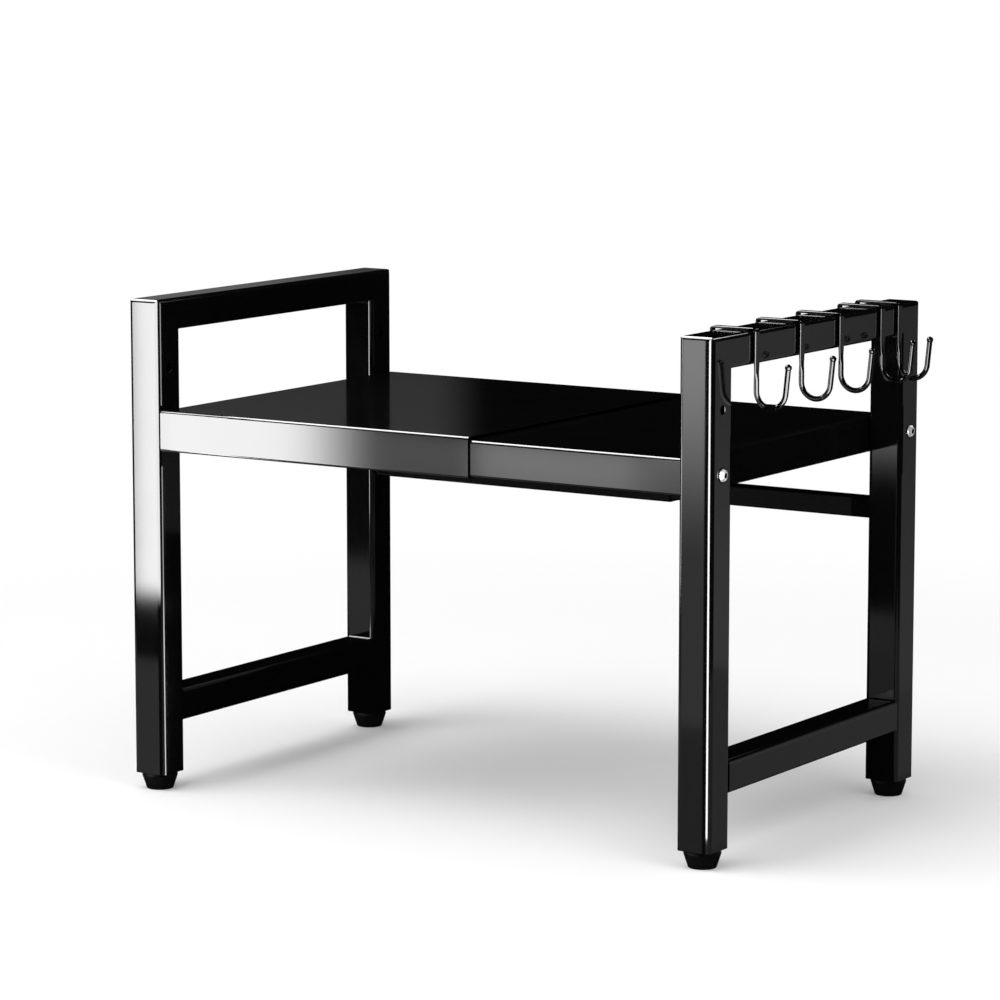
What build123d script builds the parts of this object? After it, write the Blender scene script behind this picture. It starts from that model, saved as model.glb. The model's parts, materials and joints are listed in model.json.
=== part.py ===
from build123d import *
import os

# Expandable microwave rack. Two welded side frames of square steel tube carry a shelf made of
# two folded trays, one sliding inside the other, and a rear bar of two tubes that slide the
# same way. Four levelling feet screw into the posts, and five hooks hang over the right top rail.
# Millimetres. +X is to the right, +Y to the back and +Z up. The pieces are modelled with x = 0
# midway between the side frames and z = 0 on the floor, at the width that the rack stands at.

# Whole rack
RACK_WIDTH = 590.0            # over both side frames, as it stands
RACK_DEPTH = 360.0
POST_LENGTH = 423.0

# Side frames
TUBE = 32.0                   # square section of a post, and width of a rail
TUBE_WALL = 1.0
TUBE_CORNER = 4.0
RAIL_HEIGHT = 28.0
BOTTOM_RAIL_RISE = 45.0       # from the post's lower end to the underside of the bottom rail
OUTER_ROUND = 3.0             # ground corner where a post meets the top rail
TOP_WELD = 2.5                # radius of the weld in the inner corner below the top rail
BOTTOM_WELD = 1.0

# Shelf trays
SHEET = 1.0
BEND = 2.5                    # outside radius of a fold
TRAY_LENGTH = 322.0
TRAY_HEIGHT = 36.0
TRAY_RECESS = 1.7             # the tray's front stands this far behind the posts' front
SHELF_DROP = 97.0             # from the post's top to the top of the outer tray
TRAY_LIP = 14.0               # inward fold along the lower edge
INNER_LIP = 12.0
SIDE_CLEARANCE = 1.0          # between the skirts of the two trays
LIP_CLEARANCE = 0.4           # the inner tray's lip runs this far above the outer one's
TOP_CLEARANCE = 2.2           # between the two tray tops

# Rear bar
BAR_DROP = 85.5               # from the shelf's top to the bar's middle
BAR_INNER = 18.0
BAR_WALL = 1.5
BAR_CORNER = 2.0
BAR_CLEARANCE = 0.5           # on each side between the two tubes
BAR_LENGTH = 322.0

# Shelf screws: M6 button heads with a hexagon socket, and hexagon nuts
SCREW_DROP = 16.0             # from the shelf's top
SPARE_HOLE_PITCH = 53.0       # to the holes for the shelf's higher place
SCREW_RADIUS = 3.0
SCREW_LENGTH = 40.0
HEAD_RADIUS = 5.25
HEAD_HEIGHT = 3.3
HEAD_RIM = 0.7                # straight edge below the dome
HEAD_FLAT_RADIUS = 2.9
HEAD_DOME_RADIUS = 3.2
SOCKET_FLATS = 4.0
SOCKET_DEPTH = 2.0
POST_HOLE_RADIUS = 4.4
TRAY_HOLE_RADIUS = 3.5
NUT_FLATS = 10.0
NUT_HEIGHT = 5.0
THREAD_GAP = 0.04             # radial, between a thread's crest and its nut

# Levelling feet
FOOT_HEIGHT = 14.6
FOOT_GAP = 0.4                # between the pad and the post when the foot is screwed home
FOOT_BASE_RADIUS = 11.75
FOOT_RIM_RADIUS = 15.85
FOOT_TOP_RADIUS = 14.9
FOOT_RIM_RISE = 12.4
FOOT_TOP_ROUND = 0.8
FOOT_RIM_ROUND = 1.0
FOOT_BASE_ROUND = 1.2
STUD_RADIUS = 4.0
STUD_LENGTH = 26.0            # above the pad
STUD_FLANGE_RADIUS = 9.0
STUD_FLANGE_THICKNESS = 2.5
STUD_CHAMFER = 0.8
FOOT_NUT_FLATS = 13.0
FOOT_NUT_HEIGHT = 6.5
FOOT_NUT_RISE = 6.0           # from the post's lower end to the nut
PLUG_HEIGHT = 20.0
PLUG_CORE = 24.0
PLUG_BASE = 2.5
PLUG_FIN = 1.2
PLUG_FIN_PITCH = 5.0
PLUG_CLEARANCE = 0.05
PLUG_BORE_CLEARANCE = 0.4     # radial, round the stud

# Hooks: a flat strip over the rail that runs into a round wire with a ball end
HOOK_1_PLACE = 63.1           # from the posts' front to the strip
HOOK_2_PLACE = 139.1
HOOK_3_PLACE = 208.0
HOOK_4_PLACE = 282.2
HOOK_5_PLACE = 314.2
STRIP_WIDTH = 7.0
STRIP_THICKNESS = 2.2
STRIP_EDGE = 0.9               # rounding of the strip's long edges
STRIP_BEND = 2.2              # radius of the strip's middle line
HOOK_OUTER_GAP = 1.2          # between the strip and the rail's outer face
HOOK_INNER_GAP = 6.0
HOOK_INNER_LEG = 18.0
HOOK_TAPER_LENGTH = 13.0      # over which the strip turns into the wire
HOOK_HEIGHT = 67.4            # from the strip's top to the lowest point of the wire
WIRE_RADIUS = 2.3
HOOK_BOW_RADIUS = 13.6        # of the wire's middle line
HOOK_LEAN_DEGREES = 6.0       # that the outer arm leans away from the rail
HOOK_BALL_RADIUS = 2.9
HOOK_BALL_DROP = 31.0         # from the strip's top to the ball's middle

# Heights above the floor
POST_FOOT = FOOT_HEIGHT + FOOT_GAP
POST_TOP = POST_FOOT + POST_LENGTH
RAIL_UNDERSIDE = POST_TOP - RAIL_HEIGHT
BOTTOM_RAIL_Z = POST_FOOT + BOTTOM_RAIL_RISE
SHELF_TOP = POST_TOP - SHELF_DROP
TRAY_Z = SHELF_TOP - TRAY_HEIGHT
INNER_TRAY_Z = TRAY_Z + SHEET + LIP_CLEARANCE
INNER_TRAY_HEIGHT = SHELF_TOP - SHEET - TOP_CLEARANCE - INNER_TRAY_Z
SCREW_Z = SHELF_TOP - SCREW_DROP
SPARE_Z = SCREW_Z + SPARE_HOLE_PITCH
BAR_Z = SHELF_TOP - BAR_DROP

# Places across the rack
INNER_FACE = RACK_WIDTH / 2 - TUBE        # of the posts, from the middle
POST_X = RACK_WIDTH / 2 - TUBE / 2
POST_Y = RACK_DEPTH / 2 - TUBE / 2
TRAY_DEPTH = RACK_DEPTH - 2 * TRAY_RECESS
INNER_TRAY_DEPTH = TRAY_DEPTH - 2 * (SHEET + SIDE_CLEARANCE)
BAR_OUTER = BAR_INNER + 2 * (BAR_CLEARANCE + BAR_WALL)
HOOK_PLACES = (HOOK_1_PLACE, HOOK_2_PLACE, HOOK_3_PLACE, HOOK_4_PLACE, HOOK_5_PLACE)

LEFT, RIGHT = -1, 1
FRONT, REAR = -1, 1
SIDES = {"left": LEFT, "right": RIGHT}
ENDS = {"front": FRONT, "rear": REAR}


def tube_section(width, height, wall, corner):
    """The ring that a rectangular tube is drawn to."""
    bore = RectangleRounded(width - 2 * wall, height - 2 * wall, corner - wall)
    return RectangleRounded(width, height, corner) - bore


def prism_across(sketch, width):
    """A solid drawn in the YZ plane and pushed out both ways along X."""
    return extrude(Plane.YZ * sketch, amount=width / 2, both=True)


def mitre_wedge(end, inside):
    """Half of the corner block where a post meets the top rail: the rail's half or the post's."""
    outer_y, inner_y = end * RACK_DEPTH / 2, end * (RACK_DEPTH / 2 - TUBE)
    corner = (inner_y, POST_TOP) if inside else (outer_y, RAIL_UNDERSIDE)
    outline = Polyline((outer_y, POST_TOP), corner, (inner_y, RAIL_UNDERSIDE), close=True)
    return prism_across(make_face(outline), 2 * TUBE)


def frame_envelope():
    """Everything inside the side frame's outline, with its two ground upper corners."""
    outline = RectangleRounded(RACK_DEPTH, 2 * POST_TOP, OUTER_ROUND)
    return prism_across(outline, 2 * TUBE)


def weld_bead(y, z, toward_y, toward_z, radius):
    """A concave weld in the corner at (y, z), as long as the rail's flat face is wide."""
    block = Pos(toward_y * radius / 2, toward_z * radius / 2) * Rectangle(radius, radius)
    hollow = Pos(toward_y * radius, toward_z * radius) * Circle(radius)
    return prism_across(Pos(y, z) * (block - hollow), TUBE - 2 * TUBE_CORNER)


def post(side, end):
    """A square-tube post, mitred at the top and drilled for the shelf at two heights."""
    section = tube_section(TUBE, TUBE, TUBE_WALL, TUBE_CORNER)
    body = Pos(0, end * POST_Y, POST_FOOT) * extrude(section, amount=POST_LENGTH)
    body = (body - mitre_wedge(end, inside=True)) & frame_envelope()
    for height in (SCREW_Z, SPARE_Z):
        body -= Pos(0, end * POST_Y, height) * Cylinder(POST_HOLE_RADIUS, 2 * TUBE, rotation=(0, 90, 0))
    return Pos(side * POST_X, 0, 0) * body


def rail_tube(length, z):
    """A tube of the rail's section that runs front to back, with its underside at z."""
    section = tube_section(TUBE, RAIL_HEIGHT, TUBE_WALL, TUBE_CORNER)
    lying = Plane((0, 0, z + RAIL_HEIGHT / 2), x_dir=(1, 0, 0), z_dir=(0, 1, 0))
    return extrude(lying * section, amount=length / 2, both=True)


def top_rail(side):
    """The top rail, mitred into both posts, with the weld in each lower inner corner."""
    body = rail_tube(RACK_DEPTH, RAIL_UNDERSIDE)
    for end in ENDS.values():
        body -= mitre_wedge(end, inside=False)
    body = body & frame_envelope()
    for end in ENDS.values():
        body += weld_bead(end * (RACK_DEPTH / 2 - TUBE), RAIL_UNDERSIDE, -end, -1, TOP_WELD)
    return Pos(side * POST_X, 0, 0) * body


def bottom_rail(side):
    """The bottom rail, butted between the posts and welded above and below."""
    body = rail_tube(RACK_DEPTH - 2 * TUBE, BOTTOM_RAIL_Z)
    for end in ENDS.values():
        y = end * (RACK_DEPTH / 2 - TUBE)
        body += weld_bead(y, BOTTOM_RAIL_Z, -end, -1, BOTTOM_WELD)
        body += weld_bead(y, BOTTOM_RAIL_Z + RAIL_HEIGHT, -end, 1, BOTTOM_WELD)
    return Pos(side * POST_X, 0, 0) * body


def folded_tray(side, depth, height, lip, z):
    """A tray folded from sheet: a top, two skirts with inward lips, and a skirt at the post end.

    It is drawn from its post end at x = 0 and turned round for the right half.
    """
    outline = RectangleRounded(depth, height, BEND)
    bore = RectangleRounded(depth - 2 * SHEET, height - 2 * SHEET, BEND - SHEET)
    between_lips = Pos(0, -height / 2) * Rectangle(depth - 2 * lip, height)
    tray = extrude(Plane.YZ * (outline - bore - between_lips), amount=TRAY_LENGTH)
    tray += extrude(Plane.YZ * outline, amount=SHEET)
    end_fold = Pos(TRAY_LENGTH, -height / 2) * RectangleRounded(2 * TRAY_LENGTH, 2 * height, BEND)
    tray = tray & extrude(Plane.XZ * end_fold, amount=depth, both=True)
    for end in ENDS.values():
        place = Pos(0, end * POST_Y, SCREW_Z - z - height / 2)
        tray -= place * Cylinder(TRAY_HOLE_RADIUS, 2 * TUBE, rotation=(0, 90, 0))
    turned = Rot(0, 0, 180) * tray if side == RIGHT else tray
    return Pos(side * INNER_FACE, 0, z + height / 2) * turned


def bar_tube(side, size):
    """One tube of the rear bar, from its post towards the middle."""
    section = tube_section(size, size, BAR_WALL, BAR_CORNER)
    body = extrude(Plane.YZ * section, amount=-side * BAR_LENGTH)
    return Pos(side * INNER_FACE, POST_Y, BAR_Z) * body


def button_screw():
    """A screw along +X: the underside of its head at x = 0, the domed head at negative x."""
    rim = (HEAD_RADIUS, HEAD_RIM)
    crown = (HEAD_FLAT_RADIUS, HEAD_HEIGHT)
    outline = Polyline((0, HEAD_HEIGHT), (0, 0), (HEAD_RADIUS, 0), rim)
    outline += RadiusArc(rim, crown, -HEAD_DOME_RADIUS)
    outline += Line(crown, (0, HEAD_HEIGHT))
    head = revolve(Plane.XZ * make_face(outline), Axis.Z)
    socket = RegularPolygon(SOCKET_FLATS / 2, 6, major_radius=False)
    head -= Pos(0, 0, HEAD_HEIGHT - SOCKET_DEPTH) * extrude(socket, amount=SOCKET_DEPTH)
    shank = Pos(0, 0, -SCREW_LENGTH / 2) * Cylinder(SCREW_RADIUS, SCREW_LENGTH)
    return Rot(0, -90, 0) * (head + shank)


def hexagon_nut(flats, height, thread_radius):
    """A hexagon nut that stands on z = 0."""
    blank = extrude(RegularPolygon(flats / 2, 6, major_radius=False), amount=height)
    return blank - Pos(0, 0, height / 2) * Cylinder(thread_radius + THREAD_GAP, height)


def shelf_screws(side):
    """The two screws that go through the posts of one side into the shelf."""
    screw = button_screw()
    turned = Rot(0, 0, 180) * screw if side == RIGHT else screw
    pair = [Pos(side * RACK_WIDTH / 2, end * POST_Y, SCREW_Z) * turned for end in ENDS.values()]
    return Compound(children=pair)


def shelf_nuts(side):
    """The two nuts on those screws, against the inside of the tray's end skirt."""
    nut = Rot(0, -side * 90, 0) * hexagon_nut(NUT_FLATS, NUT_HEIGHT, SCREW_RADIUS)
    x = side * (INNER_FACE - SHEET)
    return Compound(children=[Pos(x, end * POST_Y, SCREW_Z) * nut for end in ENDS.values()])


def foot_place(side, end):
    return Pos(side * POST_X, end * POST_Y, 0)


def foot_pad():
    """A rubber pad that widens upwards to a rounded rim, moulded round the stud's flange."""
    flange_z = FOOT_HEIGHT - STUD_FLANGE_THICKNESS
    outline = FilletPolyline((STUD_FLANGE_RADIUS, FOOT_HEIGHT), (FOOT_TOP_RADIUS, FOOT_HEIGHT),
                             (FOOT_RIM_RADIUS, FOOT_RIM_RISE), (FOOT_BASE_RADIUS, 0), (0, 0),
                             radius=[FOOT_TOP_ROUND, FOOT_RIM_ROUND, FOOT_BASE_ROUND])
    outline += Polyline((0, 0), (0, flange_z), (STUD_FLANGE_RADIUS, flange_z),
                        (STUD_FLANGE_RADIUS, FOOT_HEIGHT))
    return revolve(Plane.XZ * make_face(outline), Axis.Z)


def foot_stud():
    """The foot's threaded stud and the round flange that the pad holds."""
    flange_z = FOOT_HEIGHT - STUD_FLANGE_THICKNESS
    tip = FOOT_HEIGHT + STUD_LENGTH
    outline = Polyline((0, flange_z), (STUD_FLANGE_RADIUS, flange_z), (STUD_FLANGE_RADIUS, FOOT_HEIGHT),
                       (STUD_RADIUS, FOOT_HEIGHT), (STUD_RADIUS, tip - STUD_CHAMFER),
                       (STUD_RADIUS - STUD_CHAMFER, tip), (0, tip), close=True)
    return revolve(Plane.XZ * make_face(outline), Axis.Z)


def post_plug():
    """The plastic plug in the post's lower end: a finned block with a pocket for the nut."""
    across = TUBE - 2 * (TUBE_WALL + PLUG_CLEARANCE)
    fin = RectangleRounded(across, across, TUBE_CORNER - TUBE_WALL)
    plug = extrude(RectangleRounded(PLUG_CORE, PLUG_CORE, TUBE_CORNER - TUBE_WALL), amount=PLUG_HEIGHT)
    plug += extrude(fin, amount=PLUG_BASE)
    fin_count = int((PLUG_HEIGHT - PLUG_FIN) // PLUG_FIN_PITCH)
    for number in range(1, fin_count + 1):
        plug += Pos(0, 0, number * PLUG_FIN_PITCH) * extrude(fin, amount=PLUG_FIN)
    pocket = RegularPolygon(FOOT_NUT_FLATS / 2, 6, major_radius=False)
    plug -= Pos(0, 0, FOOT_NUT_RISE) * extrude(pocket, amount=PLUG_HEIGHT)
    plug -= Cylinder(STUD_RADIUS + PLUG_BORE_CLEARANCE, 2 * PLUG_HEIGHT)
    return Pos(0, 0, POST_FOOT) * plug


def plug_nut():
    """The nut in the plug's pocket that the foot's stud screws through."""
    nut = hexagon_nut(FOOT_NUT_FLATS, FOOT_NUT_HEIGHT, STUD_RADIUS)
    return Pos(0, 0, POST_FOOT + FOOT_NUT_RISE) * nut


def hook(place):
    """A hook over the right top rail, with its strip's front edge this far behind the posts' front.

    It is drawn with x = 0 on the rail's outer face and z = 0 on the rail's top.
    """
    arm_x = HOOK_OUTER_GAP + STRIP_THICKNESS / 2
    inner_x = -(TUBE + HOOK_INNER_GAP + STRIP_THICKNESS / 2)
    strip_z = STRIP_THICKNESS / 2
    middle = FilletPolyline((inner_x, -HOOK_INNER_LEG), (inner_x, strip_z), (arm_x, strip_z),
                            (arm_x, -RAIL_HEIGHT), radius=STRIP_BEND)
    strip_section = RectangleRounded(STRIP_THICKNESS, STRIP_WIDTH, STRIP_EDGE)
    strip = sweep(Pos(inner_x, 0, -HOOK_INNER_LEG) * strip_section, path=Plane.XZ * middle)

    wire_z = -RAIL_HEIGHT - HOOK_TAPER_LENGTH
    flat_end = Pos(arm_x, 0, -RAIL_HEIGHT) * strip_section
    round_end = Pos(arm_x, 0, wire_z) * Circle(WIRE_RADIUS)
    taper = loft([flat_end, round_end])

    bow_x = arm_x + HOOK_BOW_RADIUS
    bow_z = STRIP_THICKNESS - HOOK_HEIGHT + WIRE_RADIUS + HOOK_BOW_RADIUS
    straight = Line((arm_x, wire_z), (arm_x, bow_z))
    bow = CenterArc((bow_x, bow_z), HOOK_BOW_RADIUS, 180, 180 - HOOK_LEAN_DEGREES)
    ball_z = STRIP_THICKNESS - HOOK_BALL_DROP
    arm_rise = (ball_z - (bow @ 1).Y) / (bow % 1).Y
    ball = bow @ 1 + arm_rise * (bow % 1)
    path = Plane.XZ * Wire([straight, bow, Line(bow @ 1, ball)])
    wire = sweep(Pos(arm_x, 0, wire_z) * Circle(WIRE_RADIUS), path=path)
    tip = Pos(ball.X, 0, ball.Y) * Sphere(HOOK_BALL_RADIUS)
    body = strip + taper + wire + tip
    return Pos(RACK_WIDTH / 2, place + (STRIP_WIDTH - RACK_DEPTH) / 2, POST_TOP) * body


def all_nodes():
    """Every sub-part by name."""
    nodes = {
        "outer_tray": folded_tray(LEFT, TRAY_DEPTH, TRAY_HEIGHT, TRAY_LIP, TRAY_Z),
        "inner_tray": folded_tray(RIGHT, INNER_TRAY_DEPTH, INNER_TRAY_HEIGHT, INNER_LIP, INNER_TRAY_Z),
        "rear_bar_outer": bar_tube(LEFT, BAR_OUTER),
        "rear_bar_inner": bar_tube(RIGHT, BAR_INNER),
    }
    for side_name, side in SIDES.items():
        nodes[f"{side_name}_top_rail"] = top_rail(side)
        nodes[f"{side_name}_bottom_rail"] = bottom_rail(side)
        nodes[f"{side_name}_shelf_screws"] = shelf_screws(side)
        nodes[f"{side_name}_shelf_nuts"] = shelf_nuts(side)
        for end_name, end in ENDS.items():
            corner = f"{side_name}_{end_name}"
            nodes[f"{corner}_post"] = post(side, end)
            nodes[f"{corner}_post_plug"] = foot_place(side, end) * post_plug()
            nodes[f"{corner}_plug_nut"] = foot_place(side, end) * plug_nut()
            nodes[f"{corner}_foot_pad"] = foot_place(side, end) * foot_pad()
            nodes[f"{corner}_foot_stud"] = foot_place(side, end) * foot_stud()
    for number, place in enumerate(HOOK_PLACES, start=1):
        nodes[f"hook_{number}"] = hook(place)
    return nodes


def main():
    """Writes each node with the origin at the middle of the whole rack's footprint, hooks included."""
    nodes = all_nodes()
    boxes = [shape.bounding_box() for shape in nodes.values()]
    middle_x = (min(box.min.X for box in boxes) + max(box.max.X for box in boxes)) / 2
    os.makedirs("parts", exist_ok=True)
    for name, shape in nodes.items():
        export_step(Pos(-middle_x, 0, 0) * shape, f"parts/{name}.step")
    print(f"{len(nodes)} nodes, the side frames' middle is at x = {-middle_x:.3f}")


main()
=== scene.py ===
# %% [markdown]
# This scene dresses a width-adjustable microwave rack: two welded side frames of glossy black
# steel tube, a shelf of two sheet trays that slide into each other, a rear bar that slides the
# same way, four screw-in feet and five hooks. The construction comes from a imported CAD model,
# which stays exactly where it is. Blender adds the finishes, the threads and the light.

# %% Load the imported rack
import json
import math

import bmesh
import bpy
from mathutils import Matrix, Vector


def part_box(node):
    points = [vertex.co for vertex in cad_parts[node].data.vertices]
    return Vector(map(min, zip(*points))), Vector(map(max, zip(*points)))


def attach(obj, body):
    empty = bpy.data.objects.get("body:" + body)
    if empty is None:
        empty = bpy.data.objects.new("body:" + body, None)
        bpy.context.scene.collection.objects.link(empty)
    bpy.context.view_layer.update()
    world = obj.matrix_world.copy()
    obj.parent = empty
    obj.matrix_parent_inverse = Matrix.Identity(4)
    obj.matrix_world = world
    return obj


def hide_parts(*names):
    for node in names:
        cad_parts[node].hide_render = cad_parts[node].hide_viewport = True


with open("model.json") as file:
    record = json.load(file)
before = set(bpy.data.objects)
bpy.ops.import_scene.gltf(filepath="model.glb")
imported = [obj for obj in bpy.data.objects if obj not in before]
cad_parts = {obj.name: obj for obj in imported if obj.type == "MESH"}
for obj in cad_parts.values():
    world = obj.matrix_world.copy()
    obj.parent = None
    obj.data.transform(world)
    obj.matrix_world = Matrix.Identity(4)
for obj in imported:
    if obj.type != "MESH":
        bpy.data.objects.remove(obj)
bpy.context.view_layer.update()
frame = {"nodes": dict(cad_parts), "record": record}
nodes = frame["nodes"]

MM = 0.001
SIDES = ("left", "right")
ENDS = ("front", "rear")

# %% [markdown]
# The camera stands to the right of the rack and looks slightly down at it through a long lens,
# so that the rack's upright posts stay nearly parallel. Its place was found by fitting a pinhole
# camera to the edges of the photographed rack. It could also be aimed with a Track To constraint,
# but a plain rotation worked out from two angles is easier to read and to change.

# %% Camera
CAMERA_PLACE = Vector((1.9093, -3.0170, 0.7912))
CAMERA_TURN = math.radians(32.865)     # to the left of straight ahead
CAMERA_DIP = math.radians(8.428)       # below level
LENS, SENSOR = 148.1, 36.0             # millimetres
NEAREST, FARTHEST = 0.05, 200.0        # metres, what the camera sees at all


def add_camera():
    camera_data = bpy.data.cameras.new("camera")
    camera_data.sensor_width = SENSOR
    camera_data.lens = LENS
    camera_data.clip_start = NEAREST
    camera_data.clip_end = FARTHEST
    camera = bpy.data.objects.new("camera", camera_data)
    bpy.context.scene.collection.objects.link(camera)
    level = math.cos(CAMERA_DIP)
    ahead = Vector((-math.sin(CAMERA_TURN) * level, math.cos(CAMERA_TURN) * level,
                    -math.sin(CAMERA_DIP)))
    camera.location = CAMERA_PLACE
    camera.rotation_euler = ahead.to_track_quat("-Z", "Y").to_euler()
    bpy.context.scene.camera = camera
    return camera


camera = add_camera()
print("camera", round(camera.location.length, 2), "m from the rack's middle")

# %% [markdown]
# Every material below is built from shader nodes, so a few short helpers keep the code readable:
# one makes a material with an empty node tree, one adds a node and fills in its values, and the
# others do sums with sockets. Blender's own long form does the same with more lines. The view
# transform is Standard, which shows each colour as it was worked out, so white stays white.

# %% Helpers for node trees
bpy.context.scene.view_settings.view_transform = "Standard"


def add_node(tree, kind, **values):
    """Adds a shader node and sets its properties, or its inputs where the name is an input's."""
    made = tree.nodes.new(kind)
    for name, value in values.items():
        label = name.replace("_", " ")
        if label in made.inputs:
            made.inputs[label].default_value = value
        else:
            setattr(made, name, value)
    return made


def math_node(tree, operation, first, second):
    """Adds a Math node. Each operand is a number or a socket, and the result's socket comes back."""
    made = add_node(tree, "ShaderNodeMath", operation=operation)
    for number, operand in enumerate((first, second)):
        if isinstance(operand, bpy.types.NodeSocket):
            tree.links.new(operand, made.inputs[number])
        else:
            made.inputs[number].default_value = operand
    return made.outputs[0]


def times(tree, *factors):
    """The product of sockets and numbers."""
    product = factors[0]
    for factor in factors[1:]:
        product = math_node(tree, "MULTIPLY", product, factor)
    return product


def total(tree, *terms):
    """The sum of sockets and numbers."""
    whole = terms[0]
    for term in terms[1:]:
        whole = math_node(tree, "ADD", whole, term)
    return whole


def ease(tree, value, span, low=0.0, high=1.0):
    """Maps a value that goes from one end of span to the other to low..high, in a smooth S-curve."""
    start, end = span
    made = add_node(tree, "ShaderNodeMapRange", interpolation_type="SMOOTHSTEP", From_Min=start,
                    From_Max=end, To_Min=low, To_Max=high)
    tree.links.new(value, made.inputs["Value"])
    return made.outputs["Result"]


def fall(tree, value, span):
    """1 up to the start of span, and 0 from its end on."""
    return ease(tree, value, span, 1.0, 0.0)


def new_material(name):
    made = bpy.data.materials.new(name)
    made.use_nodes = True
    made.node_tree.nodes.clear()
    return made, made.node_tree


print("view transform:", bpy.context.scene.view_settings.view_transform)

# %% [markdown]
# The floor is a pale studio sweep. It is a plain matt white that takes the rack's soft shadows.
# In the photograph it burns out to pure white, so where the camera, metal or gloss sees it, a
# little of its own glow is added, and further out it turns wholly into white. Turning the lamps
# up would do that too, but it would also bleach the rack.

# %% Floor
FLOOR_HALF = 40.0
FLOOR_COLOUR = (0.84, 0.84, 0.84, 1)
FLOOR_GLOW = 0.14
FADE_TO_WHITE = (0.55, 1.5)            # metres from the rack's middle


def seen_rays(tree):
    """1 for camera, glossy and transmission rays, and 0 for rays that only carry light."""
    path = add_node(tree, "ShaderNodeLightPath").outputs
    mirrored = math_node(tree, "MAXIMUM", path["Is Glossy Ray"], path["Is Transmission Ray"])
    return math_node(tree, "MAXIMUM", path["Is Camera Ray"], mirrored)


def floor_material():
    made, tree = new_material("studio_floor")
    place = add_node(tree, "ShaderNodeNewGeometry").outputs["Position"]
    away = add_node(tree, "ShaderNodeVectorMath", operation="LENGTH")
    tree.links.new(place, away.inputs[0])

    paint = add_node(tree, "ShaderNodeBsdfDiffuse", Color=FLOOR_COLOUR)
    near_glow = add_node(tree, "ShaderNodeEmission", Strength=FLOOR_GLOW)
    near = add_node(tree, "ShaderNodeAddShader")
    tree.links.new(paint.outputs[0], near.inputs[0])
    tree.links.new(near_glow.outputs[0], near.inputs[1])
    far = add_node(tree, "ShaderNodeEmission", Strength=1.0)
    seen = add_node(tree, "ShaderNodeMixShader")
    tree.links.new(ease(tree, away.outputs["Value"], FADE_TO_WHITE), seen.inputs["Fac"])
    tree.links.new(near.outputs[0], seen.inputs[1])
    tree.links.new(far.outputs[0], seen.inputs[2])

    floor = add_node(tree, "ShaderNodeMixShader")
    tree.links.new(seen_rays(tree), floor.inputs["Fac"])
    tree.links.new(paint.outputs[0], floor.inputs[1])
    tree.links.new(seen.outputs[0], floor.inputs[2])
    out = add_node(tree, "ShaderNodeOutputMaterial")
    tree.links.new(floor.outputs[0], out.inputs["Surface"])
    return made


def flat_panel(name, corners, material):
    """A single four-sided face, wound so that it faces along the cross product of its sides."""
    mesh = bpy.data.meshes.new(name)
    mesh.from_pydata([tuple(corner) for corner in corners], [], [(0, 1, 2, 3)])
    mesh.materials.append(material)
    panel = bpy.data.objects.new(name, mesh)
    bpy.context.scene.collection.objects.link(panel)
    return panel


def level_corners(x0, y0, x1, y1, height):
    """Corners of a level panel: two opposite corners in plan, and its height."""
    return [(x0, y0, height), (x1, y0, height), (x1, y1, height), (x0, y1, height)]


floor = flat_panel("floor", level_corners(-FLOOR_HALF, -FLOOR_HALF, FLOOR_HALF, FLOOR_HALF, 0.0),
                   floor_material())
print("floor", 2 * FLOOR_HALF, "m wide")

# %% [markdown]
# The room round the rack is the world. The camera, and whatever mirrors, sees it as pure white.
# For everything else it is a soft grey dome, lighter overhead, which fills the shadows.

# %% World
HORIZON_LEVEL, ZENITH_LEVEL = 0.45, 0.80
DOME_RISE = (0.0, 0.9)                 # the part of the way up over which it grows lighter


def add_world():
    world = bpy.data.worlds.new("studio")
    world.use_nodes = True
    tree = world.node_tree
    tree.nodes.clear()
    direction = add_node(tree, "ShaderNodeTexCoord").outputs["Generated"]
    axes = add_node(tree, "ShaderNodeSeparateXYZ")
    tree.links.new(direction, axes.inputs[0])
    level = ease(tree, axes.outputs["Z"], DOME_RISE, HORIZON_LEVEL, ZENITH_LEVEL)
    dome = add_node(tree, "ShaderNodeBackground")
    tree.links.new(level, dome.inputs["Strength"])
    white = add_node(tree, "ShaderNodeBackground", Strength=1.0)
    white.inputs["Color"].default_value = (1, 1, 1, 1)
    mix = add_node(tree, "ShaderNodeMixShader")
    tree.links.new(seen_rays(tree), mix.inputs["Fac"])
    tree.links.new(dome.outputs[0], mix.inputs[1])
    tree.links.new(white.outputs[0], mix.inputs[2])
    out = add_node(tree, "ShaderNodeOutputWorld")
    tree.links.new(mix.outputs[0], out.inputs["Surface"])
    bpy.context.scene.world = world


add_world()
print("dome from", HORIZON_LEVEL, "at the horizon to", ZENITH_LEVEL, "overhead")

# %% [markdown]
# Two soft lamps add to the dome: a large key high on the front left, which throws the soft
# shadows to the right and the back, and a weaker fill on the right. Area lamps are used because
# their size sets how soft the shadow is. Gloss doesn't see them, because the panels further down
# are there for that.

# %% Lamps
LAMPS = {
    # name: (place, size in metres, power in watts)
    "key": ((-0.8, -1.4, 2.8), 2.4, 62.0),
    "fill": ((2.2, -0.6, 2.1), 1.6, 16.0),
}
LAMPS_AIM = Vector((0, 0, 0.2))        # the rack's middle


def add_lamp(name, place, size, power):
    lamp_data = bpy.data.lights.new(name, "AREA")
    lamp_data.size = size
    lamp_data.energy = power
    lamp = bpy.data.objects.new(name, lamp_data)
    bpy.context.scene.collection.objects.link(lamp)
    lamp.location = place
    lamp.rotation_euler = (LAMPS_AIM - Vector(place)).to_track_quat("-Z", "Y").to_euler()
    lamp.visible_camera = False
    lamp.visible_glossy = False
    return lamp


for name, settings in LAMPS.items():
    add_lamp(name, *settings)
print(len(LAMPS), "lamps")

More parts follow.
